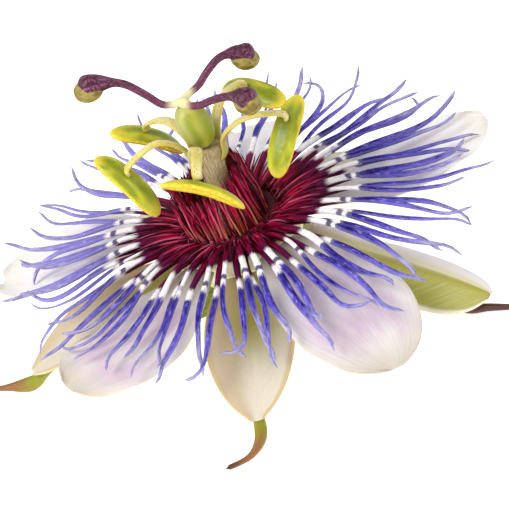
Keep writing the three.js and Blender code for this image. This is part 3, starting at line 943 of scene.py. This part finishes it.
for k, (azimuths, reach, tip, arch, width, folds, bluntness, keel_end, swelled, awn) in enumerate(SEPALS):
    midline = tepal_midline(azimuths, reach, tip, arch, SEPAL_ROOT)

    def sepal_rise(t, v):
        groove = -0.15 * bump(v, 0.06) * sin(pi * min(1, t + 0.1))
        return (0.2 + 0.6 * sin(pi * t)) * v * v + groove

    def sepal_width(t):
        return width / 2 * swelling(t, 0.45, 0.6, 0.13, lambda s: max(0, 1 - s**bluntness) ** 0.65)

    finish = (SEPAL_TURNED if k == TURNED_SEPAL else SEPAL_FACE, SEPAL_BACK)
    blade(
        f"sepal_{k + 1}_blade", 0.1 + 0.2 * k, midline, across(azimuths[0]), sepal_width, sepal_rise,
        0, finish, "sepal", f"sepal_{k + 1}", wall=0.75, folds=folds,
    )
    keel = []
    for share in (0, 0.25, 0.5, 0.75, 1):
        point = midline(lerp(0.4, keel_end, share))
        point.z -= 0.35 + (0.3 + 0.6 * swelled[0]) * share
        point.z -= 0.45 * (1 - share) if k == TURNED_SEPAL else 0
        keel.append(point)

    def awn_width(s):
        return awn_radius(s, *swelled) * min(1, 0.5 + 1.2 * s) * round_end(s, 0.04)

    line = smooth(keel + [at(*p) for p in awn], 40)
    shape = (line, across(azimuths[0]), 10, 1.2 if k == TURNED_SEPAL else 0.5, awn_width)
    finish_piece(f"sepal_{k + 1}_awn", rods(shape), AWN, "sepal")
print("sepals:", len(SEPALS))

# %% [markdown]
# ## The bracts
# Three leafy bracts sit on the stalk under the cup. They are veined, and their edges wave.

# %% Bracts
BRACTS = [25, 145, -95]
BRACT_REACH, CUP_DEPTH, STALK_RADIUS = 14.5, 6.0, 1.4

for k, azimuth in enumerate(BRACTS):

    def bract_midline(t):
        height = -CUP_DEPTH - 2.2 - 1.2 * t * t + 0.5 * sin(pi * t)
        return at(azimuth, lerp(STALK_RADIUS, BRACT_REACH, t), height)

    blade(
        f"bract_{k + 1}_leaf", 0.2 + 0.3 * k, bract_midline, across(azimuth),
        lambda t: 5 * max(sin(pi * (0.1 + 0.9 * t) ** 0.8) ** 0.8, 0.1),
        lambda t, v: 0.5 * v * v + 0.15 * v * sin(9 * t) - 0.12 * bump(v, 0.05),
        0, (BRACT, BRACT), "bract", f"bract_{k + 1}", rows=30, columns=16,
    )
print("bracts:", len(BRACTS))

# %% [markdown]
# ## Turned pieces
# The cup, the fleshy corona rings and the column are round about the axis. Each is a profile of radii
# and heights spun through a full turn, as on a lathe.


# %% Cup, rings and column
def turned(profile, steps):
    bm = new_mesh()
    vertices = [bm.verts.new((radius, 0, height)) for radius, height in profile]
    edges = [bm.edges.new(pair) for pair in zip(vertices, vertices[1:])]
    about = {"cent": (0, 0, 0), "axis": (0, 0, 1), "angle": 2 * pi}
    bmesh.ops.spin(bm, geom=vertices + edges, steps=steps, use_merge=True, **about)
    close_shell(bm)
    return bm


def rounded_profile(corners, count):
    return [(p.x, p.z) for p in smooth([Vector((r, 0, h)) for r, h in corners], count)]


STALK_END, FLUTE_DEPTH = -CUP_DEPTH - 4.4, 0.025
cup_corners = [
    (STALK_RADIUS, STALK_END + 0.1), (STALK_RADIUS, -CUP_DEPTH - 0.8), (STALK_RADIUS + 0.8, -CUP_DEPTH),
    (5.2, -CUP_DEPTH + 0.5), (RIM_RADIUS - 0.9, -3.6), (RIM_RADIUS, -1.6), (RIM_RADIUS, -0.1),
]
cup_profile = [(0, STALK_END + 0.35), (0.5, STALK_END + 0.3), (0.75, STALK_END), (1.3, STALK_END)]
cup_profile += rounded_profile(cup_corners, 26) + [(RIM_RADIUS - 0.3, 0), (0, 0)]
bm = turned(cup_profile, 60)
for vertex in bm.verts:
    angle = atan2(vertex.co.y, vertex.co.x)
    flute = FLUTE_DEPTH * cos(10 * angle) * max(0, 1 - abs(vertex.co.z + 3) / 3)
    scale = 1 + flute - FLUTE_DEPTH
    vertex.co.x, vertex.co.y = vertex.co.x * scale, vertex.co.y * scale
finish_piece("cup_flesh", bm, GREEN_FLESH, "green_flesh", "calyx_cup")

GAP, CORONA_TOP = 0.3, 1.9
for name, slot, inner, outer in (
    ("outer_corona_ring", "outer_corona", 6.3, 7.8),
    ("inner_corona_ring", "inner_corona", 4.0, 6.0),
):
    corners = [
        (inner, 0.1), (inner, 1.2), (inner + 0.4, CORONA_TOP - 0.1),
        (outer - 0.4, CORONA_TOP - 0.1), (outer, 1.2), (outer, 0.1),
    ]
    profile = rounded_profile(corners, 14)
    bm = turned([*profile, profile[0]], 72)
    finish_piece(name, bm, RING_FLESH, slot)

COLUMN_HEIGHT = 11.5
column_corners = [
    (2.1, GAP), (2.0, 1.2), (1.55, 2.6), (1.4, 6), (1.55, 9),
    (1.9, COLUMN_HEIGHT - 0.6), (1.7, COLUMN_HEIGHT - 0.05),
]
bm = turned([(0, 0.05), (2.0, 0.05), *rounded_profile(column_corners, 26), (0, COLUMN_HEIGHT - 0.05)], 48)
finish_piece("column_shaft", bm, COLUMN, "column", "column")
print("turned pieces:", [p.name for p in made_pieces[-4:]])

# %% [markdown]
# ## The outer corona
# Seventy-six filaments leave the outer ring in two rows. A filament grows in short steps, and each step
# turns a little: by the row's arch, by waves that differ from one to the next, and by a curl at the tip.

# %% Outer corona
OUTER_FILAMENTS = 38
# radius and height of the root, length and arch of the lower and the upper row
OUTER_ROWS = [(7.2, 0.9, 23.4, 9), (6.75, 1.5, 22.2, 15)]
FILAMENT_WIDTH = along_values([0.46, 0.44, 0.39, 0.35, 0.37, 0.4, 0.39, 0.35, 0.29, 0.24, 0.19])


def grown(start, length, heading, steps):
    """The points of a filament whose every step follows the azimuth and the pitch that heading gives."""
    points = [start]
    for step in range(steps):
        azimuth, pitch = heading((step + 0.5) / steps)
        pitch = radians(pitch)
        points.append(points[-1] + at(azimuth, cos(pitch), sin(pitch)) * (length / steps))
    return points


def hook(t):
    return max(0, (t - 0.62) / 0.38) ** 2


def curl(r):
    """Most filaments curl a little at the tip, and a few curl tightly."""
    return 24 * r + 110 * r**7


def outer_filament(i, row):
    root_radius, root_height, length, arch = OUTER_ROWS[row]
    azimuth = 360 / OUTER_FILAMENTS * (i + 0.5 * row) + 2 * scatter(i, 1 + row)
    lift = 6 * facing(azimuth, 98) ** 2 - 1.5 - 12.5 * cos(radians(azimuth - 15))
    reach = 1.5 * sin(radians(azimuth - 20)) - 1.3 * facing(azimuth, 0)

    def wave(t, turns, trait):
        return sin(2 * pi * (turns * t + scatter(i, trait + row)))

    def heading(t):
        pitch = 1.4 * lift * t + arch * cos(1.8 * pi * t) + t * wave(t, 1.4, 5) * 5
        pitch += 0.8 * curl(scatter(i, 7 + row)) * hook(t)
        yaw = t * wave(t, 1.7, 11) * (11 + 7 * scatter(i, 9 + row))
        yaw += curl(scatter(i, 13 + row)) * hook(t)
        yaw += 27 * wave(t, 3.6, 37) * hook(t)
        return azimuth + yaw, pitch

    start = at(azimuth, root_radius, root_height)
    points = grown(start, length + reach + 1.2 * scatter(i, 3 + row), heading, steps=24)
    stout = 0.95 + 0.3 * scatter(i, 31 + row) + 0.18 * facing(azimuth, 90) ** 2
    lumps = 2 * pi * scatter(i, 33 + row)

    def half_width(s):
        lump = 1 + 0.12 * sin(19 * s + lumps) * s
        return FILAMENT_WIDTH(s) * stout * lump * round_end(s, 0.04)

    number = 0.25 + 0.5 * row + 0.24 * scatter(i, 35 + row)
    return points, across(azimuth), 8, number, half_width, lambda s: 0.72 * half_width(s)


bm = rods(*(outer_filament(i, row) for row in range(len(OUTER_ROWS)) for i in range(OUTER_FILAMENTS)))
outer_corona = finish_piece("outer_corona_filaments", bm, OUTER_FILAMENT, "outer_corona", "corona_outer")
print("outer filaments:", 2 * OUTER_FILAMENTS, "faces:", len(outer_corona.data.polygons))

# %% [markdown]
# ## The crimson fringe
# Between the feet of the long filaments stand many short, fine ones. They fill the crimson ring like the
# bristles of a brush. One rod repeated with its own length and lean for each is enough for all of them.

# %% Crimson fringe
FRINGE_FILAMENTS = 260


def fringe_filament(i):
    azimuth = 360 / FRINGE_FILAMENTS * i + 2 * scatter(i, 301)

    def heading(t):
        low = -2 - 6 * cos(radians(azimuth - 15)) + 6 * scatter(i, 305)
        pitch = lerp(27 + 9 * scatter(i, 304), low, t)
        return azimuth + 8 * scatter(i, 306) + 12 * scatter(i, 307) * t, pitch

    length = 5.0 + 1.7 * scatter(i, 302) - 1.4 * facing(azimuth, 0) ** 2
    points = grown(at(azimuth, 6.35 + 0.3 * scatter(i, 303), 1.7), length, heading, steps=8)
    stout = 0.11 + 0.03 * scatter(i, 308)
    return points, across(azimuth), 5, 0.5 + 0.5 * scatter(i, 309), lambda s: stout * round_end(s, 0.6)


finish_piece("corona_fringe", rods(*map(fringe_filament, range(FRINGE_FILAMENTS))), FRINGE, "outer_corona")
print("fringe filaments:", FRINGE_FILAMENTS)

# %% [markdown]
# ## The inner corona
# Rows of finer filaments stand up round the column like a palisade. Most lean in, those at the front left
# splay outwards, and they are longest at the right.

# %% Inner corona
INNER_FILAMENTS = 86
# radius of the root and how far the filament leans in, from the outermost row to the innermost
INNER_ROWS = [(5.6, 0.3), (5.3, 0.27), (5.0, 0.24), (4.7, 0.21), (4.4, 0.18)]


def inner_filament(i, row):
    start_radius, inward = INNER_ROWS[row]
    azimuth = 360 / INNER_FILAMENTS * (i + row / len(INNER_ROWS)) + 2.5 * scatter(i, 151 + row)
    outward = at(azimuth, 1)
    splay, close = facing(azimuth, -55) ** 2, facing(azimuth, 80) ** 2
    length = 6.6 + 1.5 * facing(azimuth, 108) ** 4 - 0.8 * splay + 0.8 * scatter(i, 155 + row)
    lean = Vector((-0.07 + 0.06 * scatter(i, 159 + row), 0.06 * scatter(i, 163 + row), 1))
    lean -= outward * (inward * (1 - 0.65 * close) - 0.38 * splay + 0.05 * scatter(i, 167 + row))
    start = at(azimuth, start_radius * (1 - 0.2 * close), 1.3)
    tip = start + lean * length
    middle = start.lerp(tip, 0.5) + outward * (0.1 + 0.25 * scatter(i, 171 + row))
    middle += across(azimuth) * 0.3 * scatter(i, 175 + row)
    upper = start.lerp(tip, 0.78) + across(azimuth) * 0.22 * scatter(i, 187 + row)
    stout = 1 + 0.25 * scatter(i, 179 + row)
    number = 0.5 + 0.5 * scatter(i, 183 + row)
    line = smooth([start, middle, upper, tip], 10)
    return line, across(azimuth), 6, number, lambda s: stout * (0.125 - 0.035 * s) * round_end(s, 0.12)


bm = rods(*(inner_filament(i, row) for row in range(len(INNER_ROWS)) for i in range(INNER_FILAMENTS)))
inner_corona = finish_piece("inner_corona_filaments", bm, INNER_FILAMENT, "inner_corona", "corona_inner")
print("inner filaments:", len(INNER_ROWS) * INNER_FILAMENTS, "faces:", len(inner_corona.data.polygons))

# %% [markdown]
# ## Crease threads
# Fine pinkish threads run from the feet of the inner filaments over the crease between the two rings.

# %% Crease threads
THREADS = 70


def thread(i):
    azimuth = 360 / THREADS * i + 3 * scatter(i, 81)
    through = [
        at(azimuth, 5.5 + 0.3 * scatter(i, 82), 1.9),
        at(azimuth + 4 * scatter(i, 83), 6.0, 2.2 + 0.3 * scatter(i, 84)),
        at(azimuth + 8 * scatter(i, 85), 6.5 + 0.3 * scatter(i, 86), 2.3 + 0.3 * scatter(i, 87)),
        at(azimuth + 11 * scatter(i, 88), 7.4 + 0.8 * scatter(i, 90), 2.3),
    ]
    return smooth(through, 8), across(azimuth), 5, 0.5 + 0.5 * scatter(i, 89), lambda s: 0.06 - 0.025 * s


finish_piece("crease_threads", rods(*map(thread, range(THREADS))), FRINGE, "inner_corona")
print("threads:", THREADS)

# %% [markdown]
# ## The ovary
# The ovary is an egg with three soft lobes, fuller above its middle. A sphere is pulled into that form,
# and so are the anthers and the stigmas further on.

# %% Ovary
OVARY_RADIUS, OVARY_LENGTH, OVARY_LEAN = 2.05, 6.0, 0.11
OVARY_TOP = COLUMN_HEIGHT + OVARY_LENGTH


def ovary_spot(co):
    lobes = 1 + 0.03 * cos(3 * atan2(co.y, co.x))
    radius = OVARY_RADIUS * lobes * (1 + 0.1 * co.z)
    height = COLUMN_HEIGHT + OVARY_LENGTH / 2 * (1 + copysign(abs(co.z) ** 0.9, co.z))
    lean = OVARY_LEAN * (height - COLUMN_HEIGHT)
    return (co.x * radius - lean, co.y * radius, height), (0.5 + 0.5 * co.z, co.x, co.y)


finish_piece("ovary_body", ball(ovary_spot, 0.5, columns=48, rows=32), OVARY, "ovary", "ovary")
print("ovary height in mm:", OVARY_LENGTH)

# %% [markdown]
# ## The stamens
# Five straps spring from the top of the column and arch out. Each carries a long anther that hangs from
# its back, like a boat on a davit. An anther is a blunt bean with a split down each side.

# %% Straps and anthers
# azimuth, radius and height of the joint, the strap's crest, the joint's share along the anther,
# and the anther's long way and the way that its back faces, as right, front and up
STAMENS = [
    (-14.3, 8.4, 12.2, 13.6, 0.39, (7.9, 2.7, -4.9), (0.1, -0.45, 0.88)),
    (65, 10.8, 13.7, 14.4, 0.3, (-5.8, 3.9, -7), (-0.5, 0.75, 0.35)),
    (136, 9.6, 14, 14.8, 0.44, (6.3, 8, -1.2), (-0.2, 0.4, 1)),
    (-144, 10, 12.5, 14.2, 0.4, (7.6, -1.9, -6.5), (0, 0.3, 1)),
    (-78, 9.8, 12.9, 14.6, 0.4, (4.7, 4.4, -7.9), (0.5, 0.5, 0.6)),
]
ANTHER_LENGTH, ANTHER_HALF_WIDTH, ANTHER_HALF_DEPTH = 10, 1.65, 0.8
FRONT_STRAP_TURN = 40


def anther(name, number, joint, along, back_way, share, node):
    forward = from_sides(*along).normalized()
    upward = from_sides(*back_way)
    upward = (upward - forward * upward.dot(forward)).normalized()
    sideways = forward.cross(upward)

    def spot(co):
        x, up, side = co.z, co.x, co.y
        blunt = sqrt((1 - abs(x) ** 3.2) / max(1 - x * x, 1e-6)) if abs(x) < 1 else 1.0
        around = atan2(up, abs(side))
        split = 1 - 0.16 * bump(around + 0.32, 0.13) * (1 - x * x)
        groove = 0.07 * bump(side, 0.22) * (1 if up > 0 else -1) * (1 - x * x)
        moved = (
            joint
            + forward * (ANTHER_LENGTH * (x / 2 + 0.5 - share))
            + upward * ((up * blunt * split - groove - 1) * ANTHER_HALF_DEPTH - GAP - 0.9 * x * x)
            + sideways * (side * blunt * split * ANTHER_HALF_WIDTH)
        )
        return moved, (0.5 + 0.5 * x, side, up)

    finish_piece(name, ball(spot, number, columns=48, rows=36), ANTHER, "anther", node)


for k, (azimuth, radius, height, crest, share, along, back_way) in enumerate(STAMENS):
    root, number = azimuth - (FRONT_STRAP_TURN if k == 0 else 0), 0.1 + 0.2 * k
    through = [
        at(root, 1.5, COLUMN_HEIGHT - 1.8),
        at(root, 2.1, COLUMN_HEIGHT - 1.1),
        at(lerp(root, azimuth, 0.5), 2.6, COLUMN_HEIGHT + 0.9),
        at(azimuth, 0.55 * radius, crest),
        at(azimuth, radius, height + 0.35),
        at(azimuth, radius, height - 0.3),
    ]
    line = smooth(through, 30)
    shape = (line, across(azimuth), 14, number, lambda s: 0.85 - 0.25 * s, lambda s: 0.34 - 0.06 * s)
    finish_piece(f"stamen_{k + 1}_strap", rods(shape), STRAP, "stamen_filament", f"stamen_filament_{k + 1}")
    joint = at(azimuth, radius, height)
    anther(f"stamen_{k + 1}_anther", number, joint, along, back_way, share, f"anther_{k + 1}")
print("stamens:", len(STAMENS))

# %% [markdown]
# ## The styles and stigmas
# Three styles rise from the top of the ovary, dip, and swell into clubs. Under each club's end sits the
# stigma, a pad of two lobes that fits round the club.

# %% Styles
# the points that each style passes through, as right, front and up from the top of the ovary
STYLES = [
    [
        (-0.95, 0.1, 0.5), (-1.9, 0, 0.55), (-3, 0, 1), (-4.4, 0, 2.9),
        (-6.4, 0, 5.2), (-8.6, 0, 6.2), (-11.5, 0.2, 6.6),
    ],
    [
        (-0.4, 0.5, 0.5), (-0.1, 1.5, 0.4), (1, 2.5, 0.45), (2.5, 3.4, 0.9),
        (4, 4.8, 1.4), (5.5, 6.5, 1.6), (7, 8.3, 1.1),
    ],
    [
        (-0.3, -0.4, 0.5), (0.5, -0.8, 0.8), (1.7, -1.5, 1), (3.1, -2.3, 1.8),
        (5, -3.3, 2.5), (6.6, -4, 2.2), (7.8, -4.3, 1.4), (9.2, -4.6, 0.8),
    ],
]


def club_radius(s):
    club = sin(pi / 2 * min(1, max(0, (s - 0.64) / 0.28))) ** 2
    rounding = max(0, (s - 0.9) / 0.1) ** 2
    knot = 0.3 * bump(s, 0.06)
    return 0.42 + knot + 0.1 * s + 0.9 * club * (1 - 0.5 * rounding)


def style_line(through, count):
    return [p + Vector((0, 0, OVARY_TOP)) for p in smooth([from_sides(*p) for p in through], count)]


for k, through in enumerate(STYLES):
    number = 0.2 + 0.3 * k
    line = style_line([(-0.5, 0.05, 0.15), *through], 60)
    shape = (line, Vector((0, 1, 0)), 20, number, lambda s: club_radius(s) * round_end(s, 0.07))
    finish_piece(f"style_{k + 1}_club", rods(shape), STYLE, "style", f"style_{k + 1}")

    coarse = style_line(through, 13)
    tip = coarse[-1]
    forward = (tip - coarse[-3]).normalized()
    side = forward.cross(Vector((0, 0, 1))).normalized()
    downward = forward.cross(side)

    def pad_spot(co):
        cleft = 1 - 0.1 * bump(co.y, 0.22)
        reach = Vector((co.x * 1.8, co.y * 1.42, co.z * 1.38)) * cleft
        moved = tip + forward * (reach.x - 1.2) + side * reach.y + downward * (0.52 + reach.z)
        return moved, (0.5 + 0.5 * co.x, co.y, co.z)

    pad = ball(pad_spot, number, columns=32, rows=24)
    finish_piece(f"stigma_{k + 1}_pad", pad, STIGMA, "stigma", f"stigma_{k + 1}")
print("styles:", len(STYLES))

# %% [markdown]
# ## Floor and light
# A studio sweep is a big pale floor under soft light from all round, with one larger lamp to give form.
# The floor glows a little, so the shadow under the flower stays faint.

# %% Floor and light
bm = bmesh.new()
bmesh.ops.create_circle(bm, cap_ends=True, segments=96, radius=6)
floor_mesh = bpy.data.meshes.new("floor")
bm.to_mesh(floor_mesh)
bm.free()
floor = bpy.data.objects.new("floor", floor_mesh)
bpy.context.scene.collection.objects.link(floor)
sweep = Paint("floor_sweep")
sweep.surface(colour("f4f4f4"), 0.9, Emission_Color=(1, 1, 1, 1), Emission_Strength=0.7)
floor_mesh.materials.append(sweep.material)

world = bpy.data.worlds.new("soft_sky")
bpy.context.scene.world = world
world.use_nodes = True
world.node_tree.nodes["Background"].inputs["Color"].default_value = (1, 1, 1, 1)
world.node_tree.nodes["Background"].inputs["Strength"].default_value = 0.5


def lamp(name, azimuth, elevation, distance, size, power):
    light = bpy.data.lights.new(name, "AREA")
    light.shape, light.size, light.energy = "DISK", size, power
    holder = bpy.data.objects.new(name, light)
    bpy.context.scene.collection.objects.link(holder)
    rise = radians(elevation)
    way = at(azimuth, cos(rise), sin(rise))
    holder.location = CENTRE + way * distance
    holder.rotation_mode = "QUATERNION"
    holder.rotation_quaternion = way.to_track_quat("Z", "Y")


lamp("key_lamp", azimuth=-60, elevation=50, distance=0.6, size=0.35, power=2.7)
lamp("fill_lamp", azimuth=70, elevation=35, distance=0.7, size=0.4, power=0.8)
bpy.context.scene.view_settings.view_transform = "Standard"
print("pieces made:", len(made_pieces))
